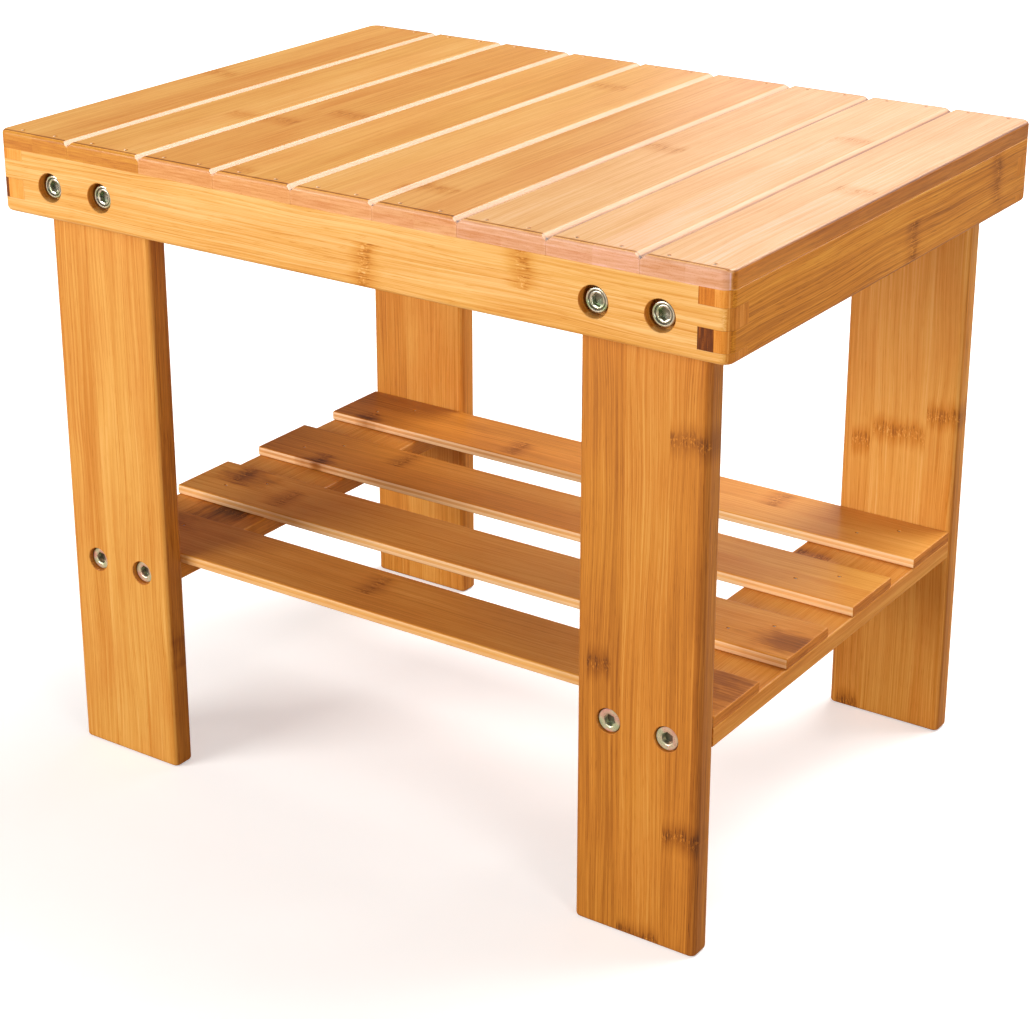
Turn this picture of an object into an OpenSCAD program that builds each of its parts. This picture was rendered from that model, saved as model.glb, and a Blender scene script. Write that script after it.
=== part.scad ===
// Slatted shower stool with a low shelf.
// Origin: on the floor under the middle of the seat. X runs along the bolted rails, -Y is the front.

/* [Overall] */
// Length of the seat along X
seat_length = 380; // [340:1:440]
// Depth of the seat along Y
seat_depth = 280; // [250:1:330]
// Height of the seat's top face above the floor
seat_height = 310; // [260:1:420]

/* [Seat] */
// Thickness of the seat slats
slat_thick = 8; // [6:0.5:12]
// How much narrower the right-hand seat slat is than the others
last_slat_trim = 2.5; // [0:0.5:8]
// Size of the bevel on each upper long edge; two of them make a V groove
slat_bevel = 2.5; // [1:0.1:3]
// Radius of the seat's and the apron's four corners, seen from above
corner_r = 5; // [2:0.5:10]

/* [Apron] */
// Height of the four rails under the slats
rail_height = 30; // [24:1:60]
// Thickness of the four rails
rail_thick = 14; // [12:0.5:20]
// Height of one finger of the corner joints
finger = 9; // [6:0.5:10]
// Height of the uppermost finger at the right-hand corners
first_finger_right = 7; // [3:0.5:8]
// Height of the uppermost finger at the left-hand corners
first_finger_left = 5; // [3:0.5:8]

/* [Legs] */
// Width of a leg board along X
leg_width = 60; // [45:1:70]
// Thickness of a leg board along Y
leg_thick = 12; // [10:0.5:16]
// Gap between a leg's outer edge and the side rail's inner face
leg_gap = 1.5; // [0.5:0.5:5]
// Rounding of the legs' vertical edges
leg_edge_r = 3; // [1:0.5:5]

/* [Shelf] */
// Height of the shelf rails' underside above the floor
shelf_z = 95; // [60:1:140]
// Thickness of the two shelf rails
shelf_rail_thick = 9; // [9:0.5:14]
// Width of the two shelf rails along X
shelf_rail_width = 57; // [45:1:60]
// Width of a shelf slat along Y
shelf_slat_width = 39; // [25:1:40]
// Thickness of a shelf slat
shelf_slat_thick = 5; // [4:0.5:8]
// Rounding of the shelf slats' and shelf rails' long edges
shelf_edge_r = 1; // [0.5:0.1:2]

/* [Fasteners] */
// Distance between the two bolts at the top of a leg
bolt_spacing = 30; // [20:1:36]
// Distance between the two screws in the end of a shelf rail
screw_spacing = 28; // [18:1:34]
// Diameter of the bolt and screw heads
head_d = 10.6; // [9:0.1:11]
// Width across the flats of the hexagon sockets
socket_flats = 5; // [4:0.5:5]
// Diameter of the bolt and screw shanks
shank_d = 6; // [5:0.1:6]
// Diameter of the counterbores in the front and back rails
bolt_bore_d = 13.6; // [12:0.1:14]
// Depth of those counterbores
bolt_bore_depth = 6.5; // [5:0.5:8]
// Height of a bolt head
bolt_head_height = 4; // [3:0.5:4]
// Length of a bolt under its head
bolt_length = 15; // [12:0.5:15.5]
// Length of a threaded insert in a leg
insert_length = 10; // [8:1:10]
// Outer diameter of a threaded insert
insert_d = 9; // [8.5:0.1:10]
// Depth of the screw heads below the faces of the left legs
screw_sink_left = 2.2; // [0.5:0.1:3]
// Depth of the screw heads below the faces of the right legs
screw_sink_right = 1; // [0.5:0.1:3]
// Overall length of a shelf screw
screw_length = 50; // [40:1:60]
// Diameter of the pin nails
nail_d = 1.4; // [1:0.1:2]

/* [Hidden] */
$fn = 48;

// Colours of the wood and the metal
seat_colour = "#e0a066";
rail_colour = "#e6a84e";
leg_colour = "#d58f45";
shelf_colour = "#cf8742";
zinc_colour = "#b9bda0";
steel_colour = "#8c8f92";

// Numbers of slats
slat_count = 9;
shelf_slat_count = 4;
slat_pitch = (seat_length + last_slat_trim) / slat_count;

// Heights
slat_z = seat_height - slat_thick;
rail_z = slat_z - rail_height;
bolt_z = rail_z + rail_height / 2;
screw_z = shelf_z + shelf_rail_thick / 2;
shelf_slat_z = shelf_z + shelf_rail_thick;

// Faces of the legs, measured from the middle planes
leg_outer_x = seat_length / 2 - rail_thick - leg_gap;
leg_x = leg_outer_x - leg_width / 2;
leg_outer_y = seat_depth / 2 - rail_thick;
leg_inner_y = leg_outer_y - leg_thick;

// Shelf layout
shelf_half_length = leg_outer_x - 0.5;
shelf_rail_x = shelf_half_length - shelf_rail_width / 2;
shelf_slat_pitch = (2 * leg_inner_y - shelf_slat_width) / (shelf_slat_count - 1);

// Clearances and small features
seam = 0.1;
fit = 0.1;
insert_cap = 1;
bolt_head_edge = 0.8;
socket_depth = 2.4;
screw_rim = 1;
screw_cone = (head_d - shank_d) / 2;
insert_bore_d = shank_d + 2 * fit;
seat_nail_inset = 5;
seat_nail_spread = 10;
seat_nail_length = 14;
shelf_nail_length = 12;
shelf_nail_offsets = [[-8, -6], [8, 7]];
nail_sink = 0.3;
overcut = 1;

function slat_start(i) = -seat_length / 2 + i * slat_pitch;
function slat_end(i) = i == slat_count - 1 ? seat_length / 2 : slat_start(i + 1);
function screw_sink(side) = side < 0 ? screw_sink_left : screw_sink_right;
function shelf_slat_y(i) = leg_inner_y - shelf_slat_width / 2 - i * shelf_slat_pitch;

// A rectangle with round corners, centred
module round_rect(w, h, r) {
    square([w - 2 * r, h], center = true);
    square([w, h - 2 * r], center = true);
    for (x = [-1, 1], y = [-1, 1]) {
        translate([x * (w / 2 - r), y * (h / 2 - r)]) circle(r);
    }
}

// The outline shared by the seat and the apron, as a block between two heights
module seat_block(z, height) {
    translate([0, 0, z]) linear_extrude(height) round_rect(seat_length, seat_depth, corner_r);
}

// Places for a pair of fasteners on each leg of the given sides, facing into the stool
module at_fasteners(spacing, y, z, sides = [-1, 1]) {
    for (side = sides, face = [-1, 1], end = [-1, 1]) {
        translate([side * leg_x + end * spacing / 2, face * y, z]) rotate([face * 90, 0, 0]) children();
    }
}

// ---- Seat ----

// Pin nails through the seat slats; grown by play on the radius to cut their holes
module seat_nail_pins(play = 0) {
    for (i = [0:slat_count - 1], end = [-1, 1], side = [-1, 1]) {
        x = (slat_start(i) + slat_end(i)) / 2 + end * seat_nail_spread;
        y = side * (seat_depth / 2 - seat_nail_inset);
        translate([x, y, seat_height - nail_sink - seat_nail_length - play]) {
            cylinder(h = seat_nail_length + play * (1 + overcut / fit), r = nail_d / 2 + play);
        }
    }
}

// Cross-section of a seat slat: flat below, bevelled along both upper edges
module slat_section(width, left_bevel, right_bevel) {
    polygon([
        [0, 0],
        [width, 0],
        [width, slat_thick - right_bevel],
        [width - right_bevel, slat_thick],
        [left_bevel, slat_thick],
        [0, slat_thick - left_bevel]
    ]);
}

module seat_slat(i) {
    left_seam = i == 0 ? 0 : seam / 2;
    right_seam = i == slat_count - 1 ? 0 : seam / 2;
    left_bevel = i == 0 ? 0 : slat_bevel;
    right_bevel = i == slat_count - 1 ? 0 : slat_bevel;
    width = slat_end(i) - slat_start(i) - left_seam - right_seam;
    color(seat_colour) difference() {
        intersection() {
            translate([slat_start(i) + left_seam, seat_depth / 2, slat_z]) rotate([90, 0, 0]) {
                linear_extrude(seat_depth) slat_section(width, left_bevel, right_bevel);
            }
            seat_block(slat_z, slat_thick);
        }
        seat_nail_pins(fit);
    }
}

// ---- Apron ----

// Heights from the rail's top down to each finger that belongs to the side rail at a corner
function side_fingers(first) = [[0, first], [first + finger, first + 2 * finger]];

// The blocks at one end of the apron that belong to the side rail's fingers
module finger_blocks(side, first) {
    x = side * (seat_length / 2 - rail_thick / 2);
    for (span = side_fingers(first), end = [-1, 1]) {
        y = end * (seat_depth / 2 - rail_thick / 2);
        translate([x, y, slat_z - (span[0] + span[1]) / 2]) {
            cube([rail_thick, rail_thick, span[1] - span[0]], center = true);
        }
    }
}

module all_finger_blocks() {
    finger_blocks(-1, first_finger_left);
    finger_blocks(1, first_finger_right);
}

// A front or back rail, cut out for the side rails' fingers, the bolts and the seat nails
module long_rail(side) {
    color(rail_colour) difference() {
        intersection() {
            seat_block(rail_z, rail_height);
            translate([0, side * (seat_depth - rail_thick) / 2, bolt_z]) {
                cube([seat_length, rail_thick, rail_height], center = true);
            }
        }
        all_finger_blocks();
        at_fasteners(bolt_spacing, seat_depth / 2 + overcut, bolt_z) {
            cylinder(h = bolt_bore_depth + overcut, d = bolt_bore_d);
            cylinder(h = rail_thick + 2 * overcut, r = shank_d / 2 + fit);
        }
        seat_nail_pins(fit);
    }
}

// A left or right rail with the fingers that fill the front and back rails' cut-outs
module side_rail(side, first) {
    inner_length = seat_depth - 2 * rail_thick;
    color(rail_colour) difference() {
        intersection() {
            seat_block(rail_z, rail_height);
            union() {
                translate([side * (seat_length - rail_thick) / 2, 0, bolt_z]) {
                    cube([rail_thick, inner_length, rail_height], center = true);
                }
                finger_blocks(side, first);
            }
        }
        seat_nail_pins(fit);
    }
}

// ---- Legs ----

// The hole for one shelf screw: a shallow counterbore, a countersink and a clearance bore
module screw_hole(sink) {
    cylinder(h = sink + screw_rim + overcut, r = head_d / 2 + 0.5);
    translate([0, 0, overcut + sink + screw_rim - fit]) {
        cylinder(h = screw_cone + 2 * fit, r1 = head_d / 2 + 2 * fit, r2 = shank_d / 2 + fit);
    }
    cylinder(h = leg_thick + 2 * overcut, r = shank_d / 2 + fit);
}

// A leg board with its threaded-insert holes and its two screw holes
module leg(side, end) {
    x = side * leg_x;
    y = end * (leg_outer_y - leg_thick / 2);
    color(leg_colour) difference() {
        translate([x, y, 0]) linear_extrude(slat_z) round_rect(leg_width, leg_thick, leg_edge_r);
        at_fasteners(bolt_spacing, leg_outer_y + overcut, bolt_z) {
            cylinder(h = insert_length + overcut + fit, r = insert_d / 2 + fit);
        }
        at_fasteners(screw_spacing, leg_outer_y + overcut, screw_z, [side]) {
            screw_hole(screw_sink(side));
        }
    }
}

// ---- Shelf ----

// Pin nails through the shelf slats; grown by play on the radius to cut their holes
module shelf_nail_pins(play = 0) {
    top = shelf_slat_z + shelf_slat_thick;
    for (i = [0:shelf_slat_count - 1], side = [-1, 1], offset = shelf_nail_offsets) {
        x = side * shelf_rail_x + offset[0];
        translate([x, shelf_slat_y(i) + offset[1], top - nail_sink - shelf_nail_length - play]) {
            cylinder(h = shelf_nail_length + play * (1 + overcut / fit), r = nail_d / 2 + play);
        }
    }
}

// A board laid flat between a front and a back leg, drilled in its ends for the screws
module shelf_rail(side) {
    color(shelf_colour) difference() {
        translate([side * shelf_rail_x, leg_inner_y, screw_z]) rotate([90, 0, 0]) {
            linear_extrude(2 * leg_inner_y) {
                round_rect(shelf_rail_width, shelf_rail_thick, shelf_edge_r);
            }
        }
        at_fasteners(screw_spacing, leg_outer_y, screw_z, [side]) {
            cylinder(h = screw_length + screw_sink(side) + fit, r = shank_d / 2 + fit);
        }
        shelf_nail_pins(fit);
    }
}

// A board along the stool's length, lying on the two shelf rails
module shelf_slat(i) {
    color(shelf_colour) difference() {
        translate([-shelf_half_length, shelf_slat_y(i), shelf_slat_z + shelf_slat_thick / 2]) {
            rotate([90, 0, 90]) linear_extrude(2 * shelf_half_length) {
                round_rect(shelf_slat_width, shelf_slat_thick, shelf_edge_r);
            }
        }
        shelf_nail_pins(fit);
    }
}

// ---- Fasteners ----

// A hexagon socket cut down from a head's face
module socket(flats, depth) {
    translate([0, 0, -overcut]) cylinder(h = depth + overcut, d = flats / cos(30), $fn = 6);
}

// A machine bolt: a low head with a bevelled rim and a plain shank, pointing along +Z
module bolt() {
    difference() {
        rotate_extrude() polygon([
            [0, 0],
            [head_d / 2 - bolt_head_edge, 0],
            [head_d / 2, bolt_head_edge],
            [head_d / 2, bolt_head_height],
            [shank_d / 2, bolt_head_height],
            [shank_d / 2, bolt_head_height + bolt_length - 1],
            [shank_d / 2 - 1, bolt_head_height + bolt_length],
            [0, bolt_head_height + bolt_length]
        ]);
        socket(socket_flats, socket_depth);
    }
}

// A threaded sleeve with a blind end, pointing along +Z
module insert_nut() {
    difference() {
        cylinder(h = insert_length, d = insert_d);
        translate([0, 0, -overcut]) {
            cylinder(h = insert_length - insert_cap + overcut, d = insert_bore_d);
        }
    }
}

// A countersunk screw for end grain, pointing along +Z
module screw() {
    neck = screw_rim + screw_cone;
    difference() {
        rotate_extrude() polygon([
            [0, 0],
            [head_d / 2, 0],
            [head_d / 2, screw_rim],
            [shank_d / 2, neck],
            [shank_d / 2, screw_length - 3],
            [shank_d / 2 - 2, screw_length],
            [0, screw_length]
        ]);
        socket(socket_flats, socket_depth);
    }
}

module apron_bolts() {
    y = seat_depth / 2 - bolt_bore_depth + bolt_head_height;
    color(zinc_colour) at_fasteners(bolt_spacing, y, bolt_z) bolt();
}

module leg_inserts() {
    color(steel_colour) at_fasteners(bolt_spacing, leg_outer_y, bolt_z) insert_nut();
}

module shelf_screws() {
    color(zinc_colour) for (side = [-1, 1]) {
        at_fasteners(screw_spacing, leg_outer_y - screw_sink(side), screw_z, [side]) screw();
    }
}

module seat_nails() {
    color(steel_colour) seat_nail_pins();
}

module shelf_nails() {
    color(steel_colour) shelf_nail_pins();
}

seat_slat(0);  // seat_slat_1
seat_slat(1);  // seat_slat_2
seat_slat(2);  // seat_slat_3
seat_slat(3);  // seat_slat_4
seat_slat(4);  // seat_slat_5
seat_slat(5);  // seat_slat_6
seat_slat(6);  // seat_slat_7
seat_slat(7);  // seat_slat_8
seat_slat(8);  // seat_slat_9
long_rail(-1);  // front_rail
long_rail(1);  // back_rail
side_rail(-1, first_finger_left);  // left_rail
side_rail(1, first_finger_right);  // right_rail
leg(-1, -1);  // leg_front_left
leg(1, -1);  // leg_front_right
leg(-1, 1);  // leg_back_left
leg(1, 1);  // leg_back_right
shelf_rail(-1);  // shelf_rail_left
shelf_rail(1);  // shelf_rail_right
shelf_slat(0);  // shelf_slat_1
shelf_slat(1);  // shelf_slat_2
shelf_slat(2);  // shelf_slat_3
shelf_slat(3);  // shelf_slat_4
apron_bolts();
leg_inserts();
shelf_screws();
seat_nails();
shelf_nails();
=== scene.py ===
"""Slatted bamboo shower stool with a low shelf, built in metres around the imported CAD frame."""
import math
import random

import bmesh
import bpy
import numpy as np
from mathutils import Matrix, Vector


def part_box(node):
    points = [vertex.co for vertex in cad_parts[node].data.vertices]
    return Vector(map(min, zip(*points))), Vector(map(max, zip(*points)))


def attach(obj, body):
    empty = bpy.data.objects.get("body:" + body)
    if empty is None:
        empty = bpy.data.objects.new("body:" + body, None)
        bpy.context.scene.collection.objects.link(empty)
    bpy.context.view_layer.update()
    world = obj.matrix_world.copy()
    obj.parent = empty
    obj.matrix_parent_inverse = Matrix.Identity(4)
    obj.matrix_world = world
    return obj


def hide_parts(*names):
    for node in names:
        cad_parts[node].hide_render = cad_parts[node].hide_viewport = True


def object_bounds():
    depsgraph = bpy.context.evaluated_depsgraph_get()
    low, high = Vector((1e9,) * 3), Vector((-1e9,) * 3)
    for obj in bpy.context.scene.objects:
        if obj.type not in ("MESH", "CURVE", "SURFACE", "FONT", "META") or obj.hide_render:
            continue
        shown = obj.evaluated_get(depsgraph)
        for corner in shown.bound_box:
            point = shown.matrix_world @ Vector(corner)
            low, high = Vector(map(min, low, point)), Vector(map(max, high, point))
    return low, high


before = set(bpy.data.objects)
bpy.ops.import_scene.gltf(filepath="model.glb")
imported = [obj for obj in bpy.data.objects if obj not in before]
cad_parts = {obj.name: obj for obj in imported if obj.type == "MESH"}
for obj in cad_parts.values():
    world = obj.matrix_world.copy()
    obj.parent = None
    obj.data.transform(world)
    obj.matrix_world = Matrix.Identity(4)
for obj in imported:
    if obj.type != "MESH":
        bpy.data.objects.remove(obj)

cad_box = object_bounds()
MM = 0.001
ON_AXIS = 0.01 * MM        # stands for a radius of nothing where a turned outline meets its axis
PAST = 1 * MM              # how far a cutter reaches past the face that it cuts
BODY = "root"
AXES = {"x": Vector((1, 0, 0)), "y": Vector((0, 1, 0)), "z": Vector((0, 0, 1))}


# ---------------- sizes read from the frame

def lo_hi(node):
    low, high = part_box(node)
    return Vector(low), Vector(high)


_, last_hi = lo_hi("seat_slat_9")
rail_lo, rail_hi = lo_hi("front_rail")
HALF_X, HALF_Y = last_hi.x, last_hi.y
SEAT_TOP = last_hi.z
RAIL_BOTTOM = rail_lo.z
RAIL_THICK = rail_hi.y - rail_lo.y
BOLT_Z = (rail_lo.z + rail_hi.z) / 2

CORNER_R = 5 * MM          # plan radius of the seat's and the apron's corners
TOP_ROUND = 1.8 * MM       # rounding of the seat's top edge
BOTTOM_ROUND = 2.4 * MM    # rounding of the apron's lower outer edge
GROOVE = 2.5 * MM          # depth and half width of the V grooves
GROOVE_EASE = 0.3 * MM     # easing where a groove's flank meets the top
FINGER = 9 * MM
FIRST_FINGER = {1: 7 * MM, -1: 5 * MM}   # uppermost side-rail finger, right and left
JOINT_GAP = 0.08 * MM
LEG_ROUND = 3 * MM         # rounding of a leg's long edges and, below, of its ends
LEG_END_ROUND = 1.6 * MM
SHELF_ROUND = 1 * MM
NAIL_R = 0.7 * MM
HEAD_R = 5.3 * MM          # bolt and screw heads
BOLT_BORE_R = 6.8 * MM
SHANK_R = 3 * MM
FIT = 0.1 * MM             # clearance of a hole round its fastener
MOUTH_EASE = 0.25 * MM     # easing of a hole's mouth
SOCKET_FLATS = 5 * MM
SOCKET_DEPTH = 2.4 * MM


# ---------------- mesh helpers

def arc_steps(radius, count):
    """Distances from an edge that step evenly round a quarter circle of this radius."""
    return [radius * (1 - math.cos(math.pi / 2 * k / count)) for k in range(count + 1)]


def loft(rings):
    """Vertices and faces of a solid through equal rings, with a flat cap at each end."""
    n = len(rings[0])
    verts = [p for ring in rings for p in ring]
    faces = []
    for i in range(len(rings) - 1):
        for j in range(n):
            k = (j + 1) % n
            faces.append((i * n + j, i * n + k, (i + 1) * n + k, (i + 1) * n + j))
    faces.append(tuple(range(n)))
    faces.append(tuple(range((len(rings) - 1) * n, len(rings) * n)))
    return verts, faces


def joined(parts):
    """Several (vertices, faces) pairs as one."""
    verts, faces = [], []
    for v, f in parts:
        start = len(verts)
        verts += v
        faces += [tuple(i + start for i in face) for face in f]
    return verts, faces


def mesh_of(name, data):
    """A mesh with its faces turned outward and points that coincide merged."""
    mesh = bpy.data.meshes.new(name)
    mesh.from_pydata([tuple(p) for p in data[0]], [], data[1])
    bm = bmesh.new()
    bm.from_mesh(mesh)
    bmesh.ops.remove_doubles(bm, verts=bm.verts, dist=1e-6)
    bmesh.ops.dissolve_degenerate(bm, edges=bm.edges, dist=1e-7)
    bmesh.ops.recalc_face_normals(bm, faces=bm.faces)
    bm.to_mesh(mesh)
    bm.free()
    return mesh


def object_of(name, data):
    """A new object in the scene that holds a mesh, a light or a camera."""
    obj = bpy.data.objects.new(name, data)
    bpy.context.scene.collection.objects.link(obj)
    return obj


def cut(obj, parts):
    """Takes each solid of parts out of obj. The cutters are kept apart from one another."""
    tool = object_of("cutter", mesh_of("cutter", joined(parts)))
    boolean = obj.modifiers.new("cut", "BOOLEAN")
    boolean.operation = "DIFFERENCE"
    boolean.solver = "EXACT"
    boolean.object = tool
    bpy.context.view_layer.update()
    result = bpy.data.meshes.new_from_object(obj.evaluated_get(bpy.context.evaluated_depsgraph_get()))
    obj.modifiers.clear()
    old, obj.data = obj.data, result
    bpy.data.meshes.remove(old)
    tool_mesh = tool.data
    bpy.data.objects.remove(tool)
    bpy.data.meshes.remove(tool_mesh)


def block(low, high):
    """A plain box, for cutting only."""
    ring = [(low[0], low[1]), (high[0], low[1]), (high[0], high[1]), (low[0], high[1])]
    return loft([[Vector((x, y, z)) for x, y in ring] for z in (low[2], high[2])])


def ring_at(place, depth, count, reach):
    """A ring of points about place's Z axis, where reach(angle) gives the radius."""
    ring = []
    for i in range(count):
        angle = 2 * math.pi * i / count
        ring.append(place @ Vector((reach(angle) * math.cos(angle), reach(angle) * math.sin(angle), depth)))
    return ring


def revolved(profile, place, count=48):
    """A solid turned from (radius, depth) points about place's Z axis."""
    return loft([ring_at(place, depth, count, lambda angle: radius) for radius, depth in profile])


def facing(x, y, z, outward, turn=0.0):
    """A place at (x, y, z) whose Z axis points into the stool from its front or back face."""
    spin = Matrix.Rotation(math.radians(-90 if outward < 0 else 90), 4, "X")
    return Matrix.Translation((x, y, z)) @ spin @ Matrix.Rotation(turn, 4, "Z")


def outline_depth(x, y):
    """How far a point lies inside the seat's rounded outline."""
    qx, qy = abs(x) - (HALF_X - CORNER_R), abs(y) - (HALF_Y - CORNER_R)
    return CORNER_R - math.hypot(max(qx, 0), max(qy, 0)) - min(max(qx, qy), 0)


def outline_reach(distance):
    """How far the outline is drawn in, at this distance from an end, by its round corner."""
    if distance >= CORNER_R:
        return 0.0
    return CORNER_R - math.sqrt(max(CORNER_R ** 2 - (CORNER_R - distance) ** 2, 0))


def round_drop(depth, radius):
    """How far a rounded edge falls away at this depth inside the outline."""
    if depth >= radius:
        return 0.0
    return radius - math.sqrt(max(radius ** 2 - (radius - depth) ** 2, 0))


def groove_drop(distance):
    """How far a groove's flank falls at this distance from the joint."""
    t = GROOVE - distance
    return (t + math.sqrt(t * t + GROOVE_EASE ** 2)) / 2 - GROOVE_EASE ** 2 / 4 / max(distance, MM)


def stations(length, ends, spans):
    """Positions along a board: the given distances from each end and equal spans between them."""
    inner = sorted(set(round(d, 7) for d in ends))
    middle = [inner[-1] + (length - 2 * inner[-1]) * k / spans for k in range(1, spans)]
    return inner + middle + [length - d for d in reversed(inner)]


# ---------------- boards

def seat_slat(index, low, high):
    """A seat slat: V flanks at its joints, and the seat's rounded outline elsewhere."""
    groove = [0.0, 0.4 * MM, 0.9 * MM, 1.4 * MM, 1.9 * MM, 2.2 * MM, 2.5 * MM, 2.8 * MM, 3.4 * MM]
    outer = arc_steps(TOP_ROUND, 6) + [3 * MM, 5 * MM]
    left_outer, right_outer = index == 1, index == 9
    corner = arc_steps(CORNER_R, 8) if left_outer or right_outer else []
    rings = []
    for along in stations(high.y - low.y, arc_steps(TOP_ROUND, 6) + corner, 8):
        y = low.y + along
        reach = outline_reach(min(along, high.y - low.y - along))
        x0 = low.x + (reach if left_outer else 0)
        x1 = high.x - (reach if right_outer else 0)
        xs = [x0 + d for d in (outer if left_outer else groove)]
        xs += [x0 + (x1 - x0) * t for t in (0.3, 0.5, 0.7)]
        xs += [x1 - d for d in reversed(outer if right_outer else groove)]
        ring = []
        for x in xs:
            drop = round_drop(outline_depth(x, y), TOP_ROUND)
            if not left_outer and x - x0 < 3 * MM:
                drop = max(drop, groove_drop(x - x0))
            if not right_outer and x1 - x < 3 * MM:
                drop = max(drop, groove_drop(x1 - x))
            ring.append(Vector((x, y, high.z - max(drop, 0))))
        ease = 0.2 * MM
        ring += [Vector(p) for p in (
            (x1, y, low.z + ease), (x1 - ease, y, low.z), (x0 + ease, y, low.z), (x0, y, low.z + ease))]
        rings.append(ring)
    return loft(rings)


def apron_rail(axis, side):
    """One side of the apron as a full-length bar with the seat's outline and a round lower edge."""
    along_half, across_half = (HALF_X, HALF_Y) if axis == "x" else (HALF_Y, HALF_X)
    offsets = arc_steps(BOTTOM_ROUND, 6) + [5 * MM, 8 * MM]
    inner_ease = 0.8 * MM
    rings = []
    ends = arc_steps(CORNER_R, 8) + arc_steps(BOTTOM_ROUND, 6)
    for along in stations(2 * along_half, ends, 12):
        a = along - along_half
        outer = across_half - outline_reach(min(along, 2 * along_half - along))
        inner = across_half - RAIL_THICK
        profile = [(outer - 0.25 * MM, rail_hi.z), (outer, rail_hi.z - 0.25 * MM)]
        for d in offsets:
            depth = outline_depth(a, outer - d) if axis == "x" else outline_depth(outer - d, a)
            profile.append((outer - d, RAIL_BOTTOM + round_drop(depth, BOTTOM_ROUND)))
        end_rise = round_drop(min(along, 2 * along_half - along), BOTTOM_ROUND)
        profile += [(inner + inner_ease, RAIL_BOTTOM + end_rise),
                    (inner, RAIL_BOTTOM + max(end_rise, inner_ease)), (inner, rail_hi.z)]
        if axis == "x":
            rings.append([Vector((a, side * c, z)) for c, z in profile])
        else:
            rings.append([Vector((side * c, a, z)) for c, z in profile])
    return loft(rings)


def finger_levels(side):
    """Heights of the side rail's fingers at a corner, as (bottom, top)."""
    first, top = FIRST_FINGER[side], rail_hi.z
    return [(top - first, top), (top - first - 2 * FINGER, top - first - FINGER)]


def finger_notches():
    """What the side rails' fingers take out of a front or back rail."""
    parts = []
    for side in (-1, 1):
        for bottom, top in finger_levels(side):
            top_cut = top + (MM if top == rail_hi.z else JOINT_GAP)
            inner, outer = HALF_X - RAIL_THICK - JOINT_GAP, HALF_X + MM
            xs = sorted((side * inner, side * outer))
            parts.append(block((xs[0], -HALF_Y - MM, bottom - JOINT_GAP),
                               (xs[1], HALF_Y + MM, top_cut)))
    return parts


def side_gaps(side):
    """What is taken off the ends of a side rail, so that its fingers are left."""
    (low_a, _), (low_b, top_b) = finger_levels(side)
    xs = sorted((side * (HALF_X - RAIL_THICK - MM), side * (HALF_X + MM)))
    parts = []
    for end in (-1, 1):
        ys = sorted((end * (HALF_Y - RAIL_THICK), end * (HALF_Y + MM)))
        for bottom, top in ((top_b, low_a), (RAIL_BOTTOM - MM, low_b)):
            parts.append(block((xs[0], ys[0], bottom), (xs[1], ys[1], top)))
    return parts


def board(low, high, axis, radius, end_round, spans=8):
    """A board with rounded long edges and eased ends, running along an axis."""
    names = [n for n in "xyz" if n != axis]
    size, centre = high - low, (low + high) / 2
    i, j, k = "xyz".index(names[0]), "xyz".index(names[1]), "xyz".index(axis)
    rings = []
    for along in stations(size[k], arc_steps(end_round, 4), spans):
        end = min(along, size[k] - along)
        inset = round_drop(end, end_round)
        r = max(radius - inset, 0.15 * MM)
        half_i, half_j = size[i] / 2 - inset, size[j] / 2 - inset
        ring = []
        for corner in range(4):
            ci = half_i - r if corner in (0, 3) else r - half_i
            cj = half_j - r if corner in (0, 1) else r - half_j
            for step in range(7):
                angle = math.pi / 2 * (corner + step / 6)
                p = Vector((0, 0, 0))
                p[i] = centre[i] + ci + r * math.cos(angle)
                p[j] = centre[j] + cj + r * math.sin(angle)
                p[k] = low[k] + along
                ring.append(p)
        rings.append(ring)
    return loft(rings)


# ---------------- where the fasteners are

BOLT_SPACING = 30 * MM
SCREW_SPACING = 28 * MM
BOLT_FACE = 2.5 * MM       # how far a bolt's head lies below the rail's face
BOLT_BORE_DEPTH = 6.5 * MM
INSERT_R, INSERT_LENGTH = 4.5 * MM, 10 * MM
SCREW_LENGTH = 50 * MM
SCREW_FACE = {-1: 2.2 * MM, 1: 1 * MM}   # how far a screw's head lies below a left or right leg's face
LEGS = {"leg_front_left": (-1, -1), "leg_front_right": (1, -1),
        "leg_back_left": (-1, 1), "leg_back_right": (1, 1)}
leg_lo, leg_hi = lo_hi("leg_back_right")
LEG_X = (leg_lo.x + leg_hi.x) / 2
LEG_OUTER_Y = leg_hi.y
shelf_lo, shelf_hi = lo_hi("shelf_rail_right")
SCREW_Z = (shelf_lo.z + shelf_hi.z) / 2
SHELF_RAIL_X = (shelf_lo.x + shelf_hi.x) / 2
SEAT_NAIL_SPREAD, SEAT_NAIL_INSET = 10 * MM, 5 * MM
SEAT_NAIL_LENGTH, SHELF_NAIL_LENGTH, NAIL_SINK = 14 * MM, 12 * MM, 0.3 * MM
SHELF_NAIL_OFFSETS = ((-8 * MM, -6 * MM), (8 * MM, 7 * MM))


def fastener_places(spacing, y, z, sink=None):
    """Places of the fasteners at every leg, with the leg's sides and a turn for the socket."""
    turns = random.Random(5)
    for side in (-1, 1):
        depth = y - (sink[side] if sink else 0)
        for face in (-1, 1):
            for end in (-1, 1):
                x = side * LEG_X + end * spacing / 2
                yield side, face, facing(x, face * depth, z, face, turns.uniform(0, math.pi / 3))


def bored(places, profile):
    """A turned cutter at each place."""
    return [revolved(profile, place) for place in places]


def eased_mouth(radius):
    """The first points of a cutter for a hole with an eased mouth."""
    wide = radius + MOUTH_EASE
    return [(ON_AXIS, -PAST), (wide + PAST, -PAST), (wide, 0), (radius, MOUTH_EASE)]


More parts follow.
